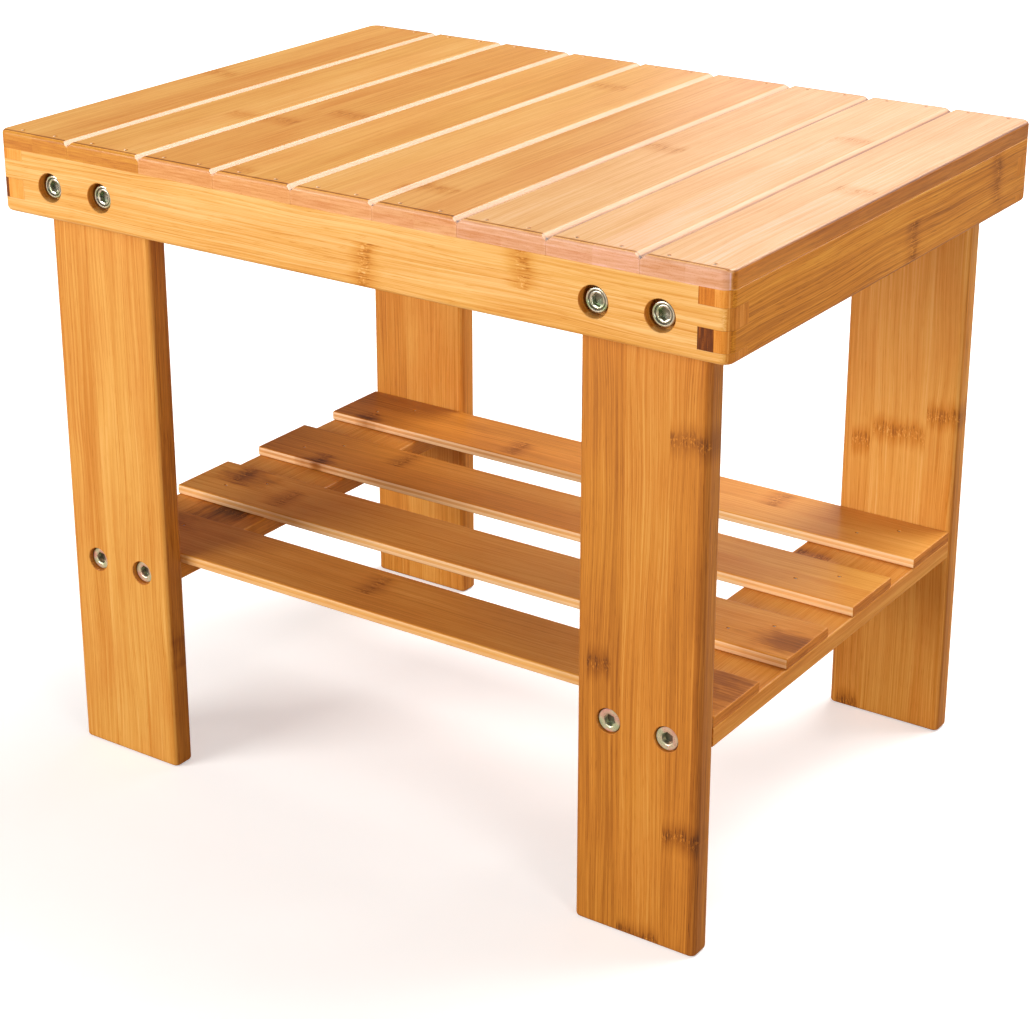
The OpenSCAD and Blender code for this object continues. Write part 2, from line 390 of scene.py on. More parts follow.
def rail_bores(face):
    """Counterbores and bolt holes of the front or back rail, with an eased mouth."""
    bore, shank, deep, corner = BOLT_BORE_R, SHANK_R + FIT, BOLT_BORE_DEPTH, 0.4 * MM
    profile = eased_mouth(bore) + [(bore, deep - corner), (bore - corner, deep), (shank, deep),
                                   (shank, RAIL_THICK + PAST), (ON_AXIS, RAIL_THICK + PAST)]
    places = [p for _, f, p in fastener_places(BOLT_SPACING, HALF_Y, BOLT_Z) if f == face]
    return bored(places, profile)


def leg_bores(side, face):
    """A leg's insert holes and its countersunk screw holes."""
    outer, shank, deep = INSERT_R + FIT, SHANK_R + FIT, INSERT_LENGTH + FIT
    blind = [(ON_AXIS, -PAST), (outer, -PAST), (outer, deep), (ON_AXIS, deep)]
    mouth, seat, rim = HEAD_R + 0.5 * MM, HEAD_R + 2 * FIT, SCREW_FACE[side] + 0.9 * MM
    through = leg_hi.y - leg_lo.y + PAST
    sunk = eased_mouth(mouth) + [(mouth, rim), (seat, rim), (shank, rim + seat - shank),
                                 (shank, through), (ON_AXIS, through)]
    parts = []
    for spacing, z, profile in ((BOLT_SPACING, BOLT_Z, blind), (SCREW_SPACING, SCREW_Z, sunk)):
        places = [p for s, f, p in fastener_places(spacing, LEG_OUTER_Y, z) if (s, f) == (side, face)]
        parts += bored(places, profile)
    return parts


SEAT_SLATS, LAST_NARROWER = 9, 2.5 * MM   # the last slat is narrower than the others by this much
SLAT_PITCH = (2 * HALF_X + LAST_NARROWER) / SEAT_SLATS
SEAT_NAILS, SHELF_NAILS = [], []
for number in range(SEAT_SLATS):
    left, right = -HALF_X + number * SLAT_PITCH, min(-HALF_X + (number + 1) * SLAT_PITCH, HALF_X)
    for end in (-1, 1):
        for side in (-1, 1):
            x, y = (left + right) / 2 + end * SEAT_NAIL_SPREAD, side * (HALF_Y - SEAT_NAIL_INSET)
            SEAT_NAILS.append(Vector((x, y, SEAT_TOP)))
for number in range(1, 5):
    low, high = lo_hi(f"shelf_slat_{number}")
    for side in (-1, 1):
        for dx, dy in SHELF_NAIL_OFFSETS:
            SHELF_NAILS.append(Vector((side * SHELF_RAIL_X + dx, (low.y + high.y) / 2 + dy, high.z)))


def down(point, drop=0.0):
    """A place whose Z axis points down from a point."""
    return Matrix.Translation(point - Vector((0, 0, drop))) @ Matrix.Rotation(math.pi, 4, "X")


def nail_bores(nails, length, low, high):
    """Holes for the nails that stand in the box between low and high, in plan."""
    near = [p for p in nails if low.x < p.x < high.x and low.y < p.y < high.y]
    r, deep, mouth = NAIL_R + 0.12 * MM, length + NAIL_SINK + FIT, NAIL_SINK
    profile = [(ON_AXIS, -PAST), (r + mouth, -PAST), (r + mouth, -0.02 * MM), (r, mouth),
               (r, deep), (ON_AXIS, deep)]
    return [revolved(profile, down(p), 16) for p in near]


# ---------------- fasteners

def hex_reach(angle):
    """Radius of a hexagon with unit apothem at an angle."""
    return 1 / math.cos((angle + math.pi / 6) % (math.pi / 3) - math.pi / 6)


def ridge(depth, angle, rise):
    """Height, from 0 to 1, of a thread's ridge that climbs by rise in each turn."""
    return abs(((depth / rise - angle / (2 * math.pi)) % 1) * 2 - 1)


def headed(head, hexagonal, thread, place):
    """A fastener: a head profile whose first points are a hexagon socket's, then a threaded shank.
    thread is (start, end, root radius, crest radius, rise in a turn, length of the tip)."""
    start, end, root, crest, rise, tip = thread
    count, steps_in_turn, sharpness, blunt = 48, 8, 1.4, 0.25
    rings = [ring_at(place, depth, count, lambda angle: radius * hex_reach(angle))
             for radius, depth in head[:hexagonal]]
    rings += [ring_at(place, depth, count, lambda angle: radius) for radius, depth in head[hexagonal:]]
    steps = int((end - start) / rise * steps_in_turn)
    for k in range(steps + 1):
        depth = start + (end - start) * k / steps
        fade = max(0, min(1, (depth - start) / rise, (end - depth) / rise))
        taper = min(1, blunt + (end - depth) / tip)
        height = (crest - root) * fade
        rings.append(ring_at(place, depth, count,
                             lambda angle: taper * (root + height * ridge(depth, angle, rise) ** sharpness)))
    return loft(rings)


def socket(widening, top, bottom, cone):
    """A hexagon socket's points, from the cone in its floor to a chamfer from bottom up to top."""
    half = SOCKET_FLATS / 2
    return [(2 * ON_AXIS, SOCKET_DEPTH + cone), (half * 0.8, SOCKET_DEPTH), (half, SOCKET_DEPTH),
            (half, bottom), (half * widening, top)]


def bolt(place):
    """A socket-head bolt: a hexagon socket, a ring turned into the face and a rounded rim."""
    crown, head_height, thread_end = 0.7 * MM, 4 * MM, 18.6 * MM
    head = socket(1.03, 0.6 * MM, 0.7 * MM, 0.5 * MM)
    face = [(3.0, 0.45), (3.35, 0.42), (3.5, 0.5), (3.9, 0.5), (4.1, 0.2), (4.3, 0.04)]
    rim = [(HEAD_R - crown * (1 - math.sin(math.pi / 2 * t / 6)),
            crown * (1 - math.cos(math.pi / 2 * t / 6))) for t in range(7)]
    hexagonal = len(head)
    head += [(radius * MM, depth * MM) for radius, depth in face] + rim
    head += [(HEAD_R, head_height - 0.2 * MM), (HEAD_R - 0.2 * MM, head_height),
             (SHANK_R + 0.1 * MM, head_height), (SHANK_R, head_height + 0.1 * MM)]
    return headed(head, hexagonal, (4.6 * MM, thread_end, 2.45 * MM, SHANK_R, 1 * MM, 0.8 * MM), place)


def screw(place):
    """A countersunk socket screw with a broad flat rim and a coarse wood thread."""
    head = socket(1.04, 0.2 * MM, 0.4 * MM, 0.4 * MM)
    hexagonal, rim = len(head), 1 * MM
    head += [(3.1 * MM, 0.08 * MM), (3.3 * MM, 0), (HEAD_R - 0.4 * MM, 0), (HEAD_R - 0.15 * MM, 0.07 * MM),
             (HEAD_R, 0.25 * MM), (HEAD_R, rim), (SHANK_R + 0.1 * MM, rim + HEAD_R - SHANK_R - 0.1 * MM),
             (SHANK_R, rim + HEAD_R - SHANK_R + 0.1 * MM)]
    return headed(head, hexagonal, (12 * MM, SCREW_LENGTH, 2.1 * MM, SHANK_R, 2.2 * MM, 7 * MM), place)


def insert(place):
    """A threaded sleeve: a coarse outside thread and a plain bore."""
    count, steps, rise, bore = 48, 50, 2 * MM, 3.1 * MM
    root, height = 3.85 * MM, INSERT_R - 3.85 * MM
    mouth = [(2 * ON_AXIS, 9 * MM), (bore, 9 * MM), (bore, 0.4 * MM), (bore + 0.3 * MM, 0.1 * MM)]
    rings = [ring_at(place, depth, count, lambda angle: radius) for radius, depth in mouth]
    for k in range(steps + 1):
        depth = 0.1 * MM + (INSERT_LENGTH - 0.1 * MM) * k / steps
        fade = min(1, k / 5, (steps - k) / 5)
        rings.append(ring_at(place, depth, count,
                             lambda angle: root + height * fade * ridge(depth, angle, rise) ** 1.5))
    rings.append(ring_at(place, INSERT_LENGTH, count, lambda angle: 2 * ON_AXIS))
    return loft(rings)


def nail(point, length):
    """A pin nail with a slightly domed head and a short point."""
    r = NAIL_R
    profile = [(0.02 * r, -0.05 * MM), (0.45 * r, -0.04 * MM), (0.8 * r, 0), (r, 0.12 * MM),
               (r, 0.8 * MM), (0.85 * r, 1 * MM), (0.85 * r, length - 1.5 * MM), (0.02 * r, length)]
    return revolved(profile, down(point, NAIL_SINK), 20)


# ---------------- materials

class Graph:
    """Short calls that add shader nodes to one material."""

    def __init__(self, material):
        material.use_nodes = True
        self.tree = material.node_tree
        self.tree.nodes.clear()

    def put(self, socket, value):
        if isinstance(value, bpy.types.NodeSocket):
            self.tree.links.new(value, socket)
        else:
            socket.default_value = value

    def node(self, kind, inputs, **settings):
        made = self.tree.nodes.new("ShaderNode" + kind)
        for key, value in settings.items():
            setattr(made, key, value)
        for key, value in inputs.items():
            self.put(made.inputs[key], value)
        return made

    def math(self, operation, a, b=0.0):
        return self.node("Math", {0: a, 1: b, 2: 0.0}, operation=operation).outputs[0]

    def minus(self, a, b):
        return self.math("SUBTRACT", a, b)

    def absolute(self, value):
        return self.math("ABSOLUTE", value)

    def least(self, a, b):
        return self.math("MINIMUM", a, b)

    def greatest(self, a, b):
        return self.math("MAXIMUM", a, b)

    def centred(self, value):
        """A value from 0 to 1 as one from -0.5 to 0.5."""
        return self.minus(value, 0.5)

    def add(self, *terms):
        total = terms[0]
        for term in terms[1:]:
            total = self.math("ADD", total, term)
        return total

    def times(self, *terms):
        total = terms[0]
        for term in terms[1:]:
            total = self.math("MULTIPLY", total, term)
        return total

    def step(self, value, low, high, to_low=0.0, to_high=1.0):
        inputs = {"Value": value, "From Min": low, "From Max": high, "To Min": to_low, "To Max": to_high}
        return self.node("MapRange", inputs, interpolation_type="SMOOTHSTEP").outputs[0]

    def vector(self, x, y, z):
        return self.node("CombineXYZ", {0: x, 1: y, 2: z}).outputs[0]

    def split(self, vector):
        return self.node("SeparateXYZ", {0: vector}).outputs

    def vmath(self, operation, a, b=(0, 0, 0)):
        made = self.node("VectorMath", {0: a, 1: b}, operation=operation)
        return made.outputs["Value" if operation in ("DOT_PRODUCT", "LENGTH") else "Vector"]

    def prop(self, name, output="Fac"):
        """A custom property of the object that is being shaded."""
        return self.node("Attribute", {}, attribute_name=name, attribute_type="OBJECT").outputs[output]

    def noise(self, vector, scale=1.0, detail=2.0, rough=0.5):
        inputs = {"Vector": vector, "Scale": scale, "Detail": detail, "Roughness": rough}
        return self.node("TexNoise", inputs).outputs["Fac"]

    def random(self, vector):
        return self.node("TexWhiteNoise", {"Vector": vector}).outputs["Value"]

    def mix(self, factor, a, b, blend="MIX"):
        made = self.node("Mix", {"Factor": factor}, data_type="RGBA", blend_type=blend)
        self.put(made.inputs[6], a)
        self.put(made.inputs[7], b)
        return made.outputs[2]

    def ramp(self, factor, stops):
        made = self.node("ValToRGB", {0: factor})
        band = made.color_ramp
        while len(band.elements) < len(stops):
            band.elements.new(0.5)
        for element, (place, colour) in zip(band.elements, stops):
            element.position = place
            element.color = (*colour, 1)
        return made.outputs["Color"]

    def bump(self, height, distance, strength=1.0):
        return self.node("Bump", {"Height": height, "Distance": distance, "Strength": strength}).outputs[0]

    def finish(self, **inputs):
        shader = self.node("BsdfPrincipled", {key.replace("_", " "): v for key, v in inputs.items()})
        output = self.tree.nodes.new("ShaderNodeOutputMaterial")
        self.tree.links.new(shader.outputs[0], output.inputs[0])


MARK_SLOTS = ("mark_a", "mark_b", "mark_c", "mark_d", "mark_e")
STAIN_SLOTS = ("stain_a", "stain_b")


def node_marks(g, u, v, seed):
    """The dark ragged bands where a cane's nodes were: (core line and teeth, bright specks, halo)."""
    core_total, speck_total, halo_total = 0.0, 0.0, 0.0
    wobble = g.noise(g.vector(g.times(v, 0.16), seed, 0.0), detail=1.5)
    wobble = g.times(g.centred(wobble), 6.0)
    teeth = g.noise(g.vector(g.times(u, 0.16), g.times(v, 1.5), seed), detail=1.0)
    grit = g.noise(g.vector(g.times(u, 0.75), g.times(v, 1.3), seed), detail=1.0)
    soft = g.noise(g.vector(g.times(u, 0.05), g.times(v, 0.45), seed), detail=2.0)
    normal = g.node("TexCoord", {}).outputs["Normal"]
    lean = g.absolute(g.vmath("DOT_PRODUCT", normal, g.prop("side", "Vector")))
    broad_face = g.step(lean, 0.9, 0.6, 0.25, 1.0)
    for name in MARK_SLOTS:
        place = g.split(g.prop(name, "Vector"))
        inside = g.minus(place[2], g.absolute(g.minus(v, place[1])))
        inside = g.step(inside, -0.1, 0.35)
        away = g.add(g.minus(u, place[0]), wobble)
        line = g.step(g.absolute(away), 0.9, 0.1)
        fringe = g.times(g.step(away, -6.5, -1.2), g.step(away, 3.2, 0.4))
        dashes = g.times(fringe, g.step(teeth, 0.50, 0.60))
        specks = g.times(g.step(g.absolute(g.add(away, 2.2)), 3.6, 1.0), g.step(grit, 0.56, 0.64))
        spread = g.add(g.absolute(g.add(away, 1.8)), g.times(soft, -8.0))
        halo = g.step(spread, 6.5, -3.0)
        broken = g.times(line, g.step(grit, 0.45, 0.6), 0.45)
        core = g.greatest(broken, g.times(dashes, 0.8))
        core_total = g.greatest(core_total, g.times(core, inside, broad_face))
        speck_total = g.greatest(speck_total, g.times(specks, inside))
        halo_total = g.greatest(halo_total, g.times(halo, inside))
    return core_total, speck_total, halo_total


def stains(g, u, v, seed):
    """Soft dark clouds, each (along, across, radius) in mm: real stains in the cane, and near the left legs
    partly painted shadow.
    """
    ragged = g.noise(g.vector(g.times(u, 0.09), g.times(v, 0.30), seed), detail=2.0)
    total = 0.0
    for name in STAIN_SLOTS:
        place = g.split(g.prop(name, "Vector"))
        du = g.times(g.minus(u, place[0]), 0.6)
        dv = g.minus(v, place[1])
        distance = g.math("SQRT", g.add(g.times(du, du), g.times(dv, dv)))
        reach = g.math("DIVIDE", distance, place[2])
        total = g.greatest(total, g.step(g.add(reach, g.times(ragged, -1.3)), 0.45, -0.5))
    return total


CANE = [(0.0, (0.88, 0.54, 0.20)), (0.25, (0.76, 0.385, 0.085)), (0.5, (0.60, 0.230, 0.028)),
        (0.75, (0.35, 0.112, 0.010)), (1.0, (0.11, 0.030, 0.004))]
CREAM = (0.80, 0.49, 0.30)
CREAM_FIBRES = [(0.3, (1.08, 1.06, 1.0)), (0.7, (0.90, 0.86, 0.78))]
PLY = 6.5                  # thickness in mm of one layer of cane in a board


def bamboo(name, depth, contrast, gloss, specular):
    """Lacquered laminated bamboo. The grain attribute gives millimetres along, across and through a board."""
    material = bpy.data.materials.new(name)
    g = Graph(material)
    u, v, w = g.split(g.node("Attribute", {}, attribute_name="grain").outputs["Vector"])[:3]
    seed = g.prop("seed")
    normal = g.node("TexCoord", {}).outputs["Normal"]
    upward = g.split(normal)[2]
    end = g.step(g.absolute(g.vmath("DOT_PRODUCT", normal, g.prop("axis", "Vector"))), 0.5, 0.7)

    # Fibres wander a little across the board.
    sway = g.noise(g.vector(g.times(u, 0.012), g.times(v, 0.05), seed), detail=1.0)
    sv = g.add(v, g.times(g.centred(sway), 5.0))

    def fibres(along, across, detail=2.0, rough=0.5, shift=0.0):
        length, width = g.add(g.times(u, along), seed), g.times(sv, across)
        return g.noise(g.vector(length, width, g.add(g.times(w, across), shift)), detail=detail, rough=rough)

    fine = fibres(0.011, 1.9, 2.5, 0.6)
    thread = fibres(0.018, 0.75, 2.0, 0.5, 3.1)
    broad = fibres(0.006, 0.11, 2.0, 0.5, 7.7)
    pores = fibres(0.11, 3.2, 1.0, 0.5, 5.3)
    cloud = g.noise(g.vector(g.times(u, 0.02), g.times(v, 0.04), seed), detail=2.0)

    # Laminated strips, each with its own tone and a hairline of glue.
    strip = g.math("DIVIDE", g.minus(v, g.prop("phase")), g.prop("strip"))
    number = g.math("FLOOR", strip)
    ply = g.math("FLOOR", g.times(w, 1 / PLY))
    tone = g.random(g.vector(number, ply, seed))
    shade = g.random(g.vector(ply, seed, number))
    edge = g.math("PINGPONG", strip, 0.5)
    glue = g.step(g.times(edge, g.prop("strip")), 0.28, 0.05)

    core, specks, halo = node_marks(g, u, v, seed)
    lean = g.absolute(g.vmath("DOT_PRODUCT", normal, g.prop("side", "Vector")))
    flank = g.step(lean, 0.72, 0.92)
    groove = g.times(g.step(lean, 0.40, 0.58), g.step(lean, 0.93, 0.80), g.step(upward, 0.3, 0.5))
    band = g.split(g.prop("band", "Vector"))
    in_band = g.times(g.step(g.minus(v, band[0]), -0.2, 0.2),
                      g.step(g.minus(v, band[1]), 0.2, -0.2))
    clouds = stains(g, u, v, seed)
    level = g.add(
        depth,
        g.prop("tone"),
        g.times(flank, g.prop("side_tone")),
        g.times(in_band, band[2]),
        g.times(u, g.prop("fade"), 0.01),
        g.times(clouds, 0.32),
        g.times(g.centred(tone), 0.13),
        g.times(g.centred(fine), 0.60 * contrast),
        g.times(g.centred(thread), 0.38 * contrast),
        g.times(g.centred(broad), 0.24 * contrast),
        g.times(g.centred(cloud), 0.16),
        g.times(g.step(pores, 0.60, 0.72), 0.13 * contrast),
        g.times(glue, 0.05),
        g.times(halo, g.prop("node_depth"), 0.20),
        g.times(core, g.prop("node_depth"), 0.27),
        g.times(specks, g.prop("node_depth"), -0.22),
    )

    # End grain: dense dots of cut fibres in layers, darker towards the cane's outer wall.
    cells = g.node("TexVoronoi", {"Vector": g.vector(g.times(v, 1.15), g.times(w, 1.5), seed), "Scale": 1.0})
    dots = g.step(cells.outputs["Distance"], 0.34, 0.12)
    layers = g.noise(g.vector(g.times(v, 0.10), g.times(w, 1.4), seed), detail=2.0)
    wall = g.math("FRACT", g.times(w, 1 / PLY))
    dark = g.split(g.prop("dark_ply", "Vector"))
    heart = g.times(g.step(g.minus(w, dark[0]), 0.25, -0.25),
                    g.step(v, 7.0, 3.0, 0.25, 1.0), dark[1])
    end_level = g.add(g.prop("end_tone"), depth, g.times(dots, 0.10), g.times(g.centred(layers), 0.50),
                      g.times(wall, 0.07), g.times(g.centred(tone), 0.10), heart)
    level = g.add(g.times(level, g.minus(1.0, end)), g.times(end_level, end))

    # Edges: a faint darker band lies just inside each edge, and the arris itself carries a painted highlight.
    # A painted shade line lies inside the seat's top front and back edges, a painted highlight on the stool's
    # vertical corners.
    low, high = g.prop("low", "Vector"), g.prop("high", "Vector")
    place = g.node("TexCoord", {}).outputs["Object"]
    near = g.split(g.vmath("MINIMUM", g.vmath("SUBTRACT", place, low), g.vmath("SUBTRACT", high, place)))
    least = g.least(g.least(near[0], near[1]), near[2])
    most = g.greatest(g.greatest(near[0], near[1]), near[2])
    second = g.minus(g.minus(g.add(near[0], near[1], near[2]), least), most)
    arris = g.step(second, 1.3 * MM, 0.2 * MM)
    build_up = g.times(g.step(second, 4 * MM, 1.5 * MM), g.step(second, 0.6 * MM, 1.6 * MM))
    # Painted shade: a dark line on the rounding just inside the seat's top front and back edges.
    rim = g.times(g.step(near[1], 2.7 * MM, 2.1 * MM), g.step(near[1], 1.0 * MM, 1.5 * MM),
                  g.step(upward, 0.5, 0.8))
    x, y, _ = g.split(g.vmath("ABSOLUTE", place))[:3]
    plan = g.greatest(g.minus(HALF_X, x), g.minus(HALF_Y, y))
    # Painted highlight: a lighter line down the stool's vertical outer corners.
    corner = g.times(g.step(plan, 1.75 * MM, 1.55 * MM), g.step(g.absolute(upward), 0.5, 0.2))
    worn = g.split(g.prop("worn", "Vector"))
    from_joint = g.math("DIVIDE", near[0], g.greatest(g.times(worn[2], MM), 1e-5))
    # Painted shade deep in a groove, beside its joint.
    seam = g.times(g.step(from_joint, 1.0, 0.4), g.step(upward, 0.3, 0.5), groove)
    level = g.add(level, g.times(arris, -0.035), g.times(build_up, 0.02), g.times(rim, worn[0], 0.48),
                  g.times(corner, worn[1], -0.22), g.times(seam, g.prop("seam_dark")))

    colour = g.ramp(g.greatest(level, 0.0), CANE)
    tint = g.mix(flank, g.prop("tint", "Vector"), g.prop("side_tint", "Vector"))
    colour = g.mix(1.0, colour, tint, "MULTIPLY")
    blush = g.step(g.add(g.times(g.centred(shade), 0.5), cloud), 0.35, 0.75)
    colour = g.mix(g.times(blush, 0.35), colour, g.mix(1.0, colour, (1.0, 0.90, 0.98, 1), "MULTIPLY"))
    colour = g.mix(end, colour, g.mix(1.0, colour, g.prop("end_tint", "Vector"), "MULTIPLY"))
    middle_ply = g.step(g.absolute(g.minus(w, 0.3)), 0.9, 0.4)
    side_pale = g.times(flank, g.prop("side_pale"), g.step(middle_ply, 0.0, 1.0, 1.0, 0.35))
    side_pale = g.times(side_pale, g.minus(1.0, clouds))
    # The cream in the grooves is a painted highlight; on the flanks it is bare cane.
    pale = g.greatest(g.times(groove, g.prop("groove_pale")), side_pale)
    pale = g.times(pale, g.minus(1.0, seam))
    cream = g.mix(1.0, g.prop("cream", "Vector"), g.ramp(fine, CREAM_FIBRES), "MULTIPLY")
    colour = g.mix(pale, colour, cream)
    roughness = g.add(gloss, g.times(g.centred(fine), 0.14), g.times(end, 0.12), g.times(core, 0.10),
                      g.times(g.centred(cloud), 0.08))
    height = g.add(g.times(fine, 0.6), g.times(thread, 0.4), g.times(glue, -0.25))
    g.finish(Base_Color=colour, Roughness=roughness, Normal=g.bump(height, 0.05 * MM, 0.8),
             Specular_IOR_Level=specular, Coat_Weight=0.1, Coat_Roughness=0.18)
    return material


RINGS_REACH = 8            # the radius in mm that the ramp of painted shade rings ends at


def metal(name, palette, base_rough, film, metallic, rings):
    """Plated or plain steel with painted shade in rings, faint scuffs and, where film is set, a thin colour
    film.
    rings are (radius in mm, brightness) stops from the middle of a head outwards; the dark stops are painted
    shade."""
    material = bpy.data.materials.new(name)
    g = Graph(material)
    x, y, depth = g.split(g.node("Attribute", {}, attribute_name="grain").outputs["Vector"])[:3]
    turn = g.node("Attribute", {}, attribute_name="turn").outputs["Fac"]
    radius = g.math("SQRT", g.add(g.times(x, x), g.times(y, y)))
    deep = g.add(g.times(depth, 0.2), turn)
    patch = g.noise(g.vector(g.times(x, 0.16), g.times(y, 0.16), deep), detail=1.5)
    speck = g.noise(g.vector(g.times(x, 1.1), g.times(y, 1.1), g.add(depth, turn)), detail=3.0, rough=0.6)
    lathe = g.noise(g.vector(g.times(radius, 5.0), turn, 0.0), detail=2.0)
    scuff = g.noise(g.vector(g.times(x, 1.5), g.times(y, 6.0), turn), detail=2.0)
    colour = g.ramp(g.step(patch, 0.30, 0.70), palette)
    level = g.ramp(g.times(radius, 1 / RINGS_REACH), [(r / RINGS_REACH, (k, k, k)) for r, k in rings])
    colour = g.mix(1.0, colour, level, "MULTIPLY")
    grime = g.step(speck, 0.56, 0.72)
    colour = g.mix(g.times(grime, 0.5), colour, (0.12, 0.09, 0.05, 1))
    roughness = g.add(base_rough, g.times(g.centred(scuff), 0.18), g.times(grime, 0.2))
    height = g.add(g.times(lathe, 0.5), g.times(scuff, 0.3), g.times(speck, 0.4))
    g.finish(Base_Color=colour, Roughness=roughness, Metallic=metallic, Normal=g.bump(height, 0.03 * MM, 0.6),
             Coat_Weight=film, Coat_Roughness=0.08)
    return material


WHITE = (1, 1, 1, 1)
BOLT_PALETTE = [(0.0, (0.46, 0.62, 0.36)), (0.4, (0.74, 0.76, 0.60)), (0.7, (0.80, 0.76, 0.66)),
                (1.0, (0.56, 0.62, 0.50))]
# Dark stops paint shade in a socket and at a head's edge; on the bolts they also paint a dark reflection in
# the ring turned into the face.
BOLT_RINGS = [(0, 0.35), (2.1, 0.25), (2.4, 0.5), (2.75, 1.0), (3.3, 1.0), (3.6, 0.22),
              (4.0, 0.22), (4.4, 1.0), (5.0, 0.85), (5.3, 0.3)]
SCREW_PALETTE = [(0.0, (0.62, 0.74, 0.48)), (0.35, (0.82, 0.80, 0.58)), (0.65, (0.92, 0.68, 0.52)),
                 (1.0, (0.98, 0.50, 0.44))]
SCREW_RINGS = [(0, 0.20), (2.1, 0.14), (2.45, 0.35), (2.7, 1.0), (3.1, 0.9), (4.5, 1.0),
               (5.0, 0.8), (5.3, 0.3)]
STEEL_PALETTE = [(0.0, (0.34, 0.33, 0.32)), (1.0, (0.55, 0.53, 0.50))]
STEEL_RINGS = [(0, 1.0), (1, 0.9)]
MATERIALS = {
    "seat_bamboo": bamboo("seat_bamboo", 0.33, 0.75, 0.36, 0.4),
    "rail_bamboo": bamboo("rail_bamboo", 0.15, 1.3, 0.38, 0.2),
    "leg_bamboo": bamboo("leg_bamboo", 0.32, 0.9, 0.4, 0.3),
    "shelf_bamboo": bamboo("shelf_bamboo", 0.42, 0.7, 0.44, 0.2),
    "bolt_zinc": metal("bolt_zinc", BOLT_PALETTE, 0.24, 0.2, 0.8, BOLT_RINGS),
    "zinc": metal("zinc", SCREW_PALETTE, 0.30, 0.1, 0.65, SCREW_RINGS),
    "plain_steel": metal("plain_steel", STEEL_PALETTE, 0.4, 0.0, 1.0, STEEL_RINGS),
}


# ---------------- pieces

NOWHERE = (9999.0, 0.0, 0.0)
CLEAN = (9999.0, 0.0, 1.0)

# What the bamboo materials read from a board. Tones and fade darken, and places are millimetres of grain.
#   stain_a, stain_b: a dark cloud (along, across, radius): real stains, and near the left legs partly painted
#     shadow.   fade: darkening for each 100 mm along.
#   band: a strip of another tone (from, to, tone) across the board.
#   dark_ply: where the end grain turns dark (through, tone).
#   worn: strength of the painted shade line inside the seat's top front and back edges and of the painted
#       highlight
#     on the stool's own corners, and how far in mm the painted shade beside a groove's joint reaches.   seam_dark: how dark it is.
#   groove_pale: how much painted cream highlight lies in the grooves.   side_pale: how much bare cane, coloured cream, shows on the flanks.
#   tint, side_tint, end_tint: colours over the faces, the flanks and the ends.
PLAIN = {"stain_a": CLEAN, "stain_b": CLEAN, "fade": 0.0, "band": NOWHERE, "dark_ply": (0.0, 0.0, 0.0),
         "worn": (0.0, 0.0, 0.0), "groove_pale": 0.0, "seam_dark": 0.0, "side_pale": 0.0,
         "cream": CREAM, "tint": (1.0, 1.0, 1.0), "side_tint": (1.0, 1.0, 1.0), "end_tint": (1.0, 0.92, 0.92)}
seeds = random.Random(23)


def grain_of(mesh, along, across, through, origin):
    """Stores each point's millimetres along, across and through the board, from its middle."""
    count = len(mesh.vertices)
    points = np.empty(count * 3)
    mesh.vertices.foreach_get("co", points)
    points = points.reshape(-1, 3) - np.array(origin)
    frame_axes = np.array([AXES[along], AXES[across], AXES[through]])
    layer = mesh.attributes.new("grain", "FLOAT_VECTOR", "POINT")
    layer.data.foreach_set("vector", (points @ frame_axes.T / MM).astype(np.float32).ravel())


def shade(obj, slot, angle=32):
    """Smooth shading with hard edges kept, and one material."""
    mesh = obj.data
    mesh.polygons.foreach_set("use_smooth", [True] * len(mesh.polygons))
    mesh.set_sharp_from_angle(angle=math.radians(angle))
    mesh.materials.clear()
    mesh.materials.append(MATERIALS[slot])
    weighted = obj.modifiers.new("normals", "WEIGHTED_NORMAL")
    weighted.keep_sharp = True
    weighted.weight = 60


def register(obj, node):
    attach(obj, BODY)
    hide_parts(node)


def board_piece(node, data, cuts, slot, axes, strip=21.0, phase=3.0, tone=0.0, end_tone=0.14, node_depth=1.0,
                side_tone=0.0, marks=(), **more):
    """One board: its mesh, its holes, its grain and its node marks (along, across, half width in mm)."""
    low, high = lo_hi(node)
    obj = object_of(node + "_look", mesh_of(node + "_look", data))
    for group in cuts:
        if group:
            cut(obj, group)
    grain_of(obj.data, *axes, (low + high) / 2)
    shade(obj, slot)
    obj["axis"], obj["side"] = tuple(AXES[axes[0]]), tuple(AXES[axes[1]])
    obj["low"], obj["high"] = tuple(low), tuple(high)
    obj["seed"] = seeds.uniform(0, 60)
    obj["strip"], obj["phase"] = strip, phase
    obj["tone"], obj["end_tone"], obj["side_tone"] = tone, end_tone, side_tone
    obj["node_depth"] = node_depth
    for key, value in {**PLAIN, **more}.items():
        obj[key] = value
    for k, name in enumerate(MARK_SLOTS):
        obj[name] = tuple(float(n) for n in marks[k]) if k < len(marks) else NOWHERE
    register(obj, node)


def fastener_piece(node, parts, look, angle=30):
    """One kind of fastener, every solid with its own grain: millimetres from its own head's centre."""
    obj = object_of(node + "_look", mesh_of(node + "_look", joined([p for p, _ in parts])))
    obj["seed"] = seeds.uniform(0, 60)
    inverses = [place.inverted() for _, place in parts]
    origins = np.array([place.translation for _, place in parts])
    grains, turns = [], []
    for vertex in obj.data.vertices:
        nearest = int(np.argmin(((origins - np.array(vertex.co)) ** 2).sum(axis=1)))
        grains += list(inverses[nearest] @ vertex.co / MM)
        turns.append(nearest * 3.7)
    obj.data.attributes.new("grain", "FLOAT_VECTOR", "POINT").data.foreach_set("vector", grains)
    obj.data.attributes.new("turn", "FLOAT", "POINT").data.foreach_set("value", turns)
    shade(obj, look, angle)
    register(obj, node)
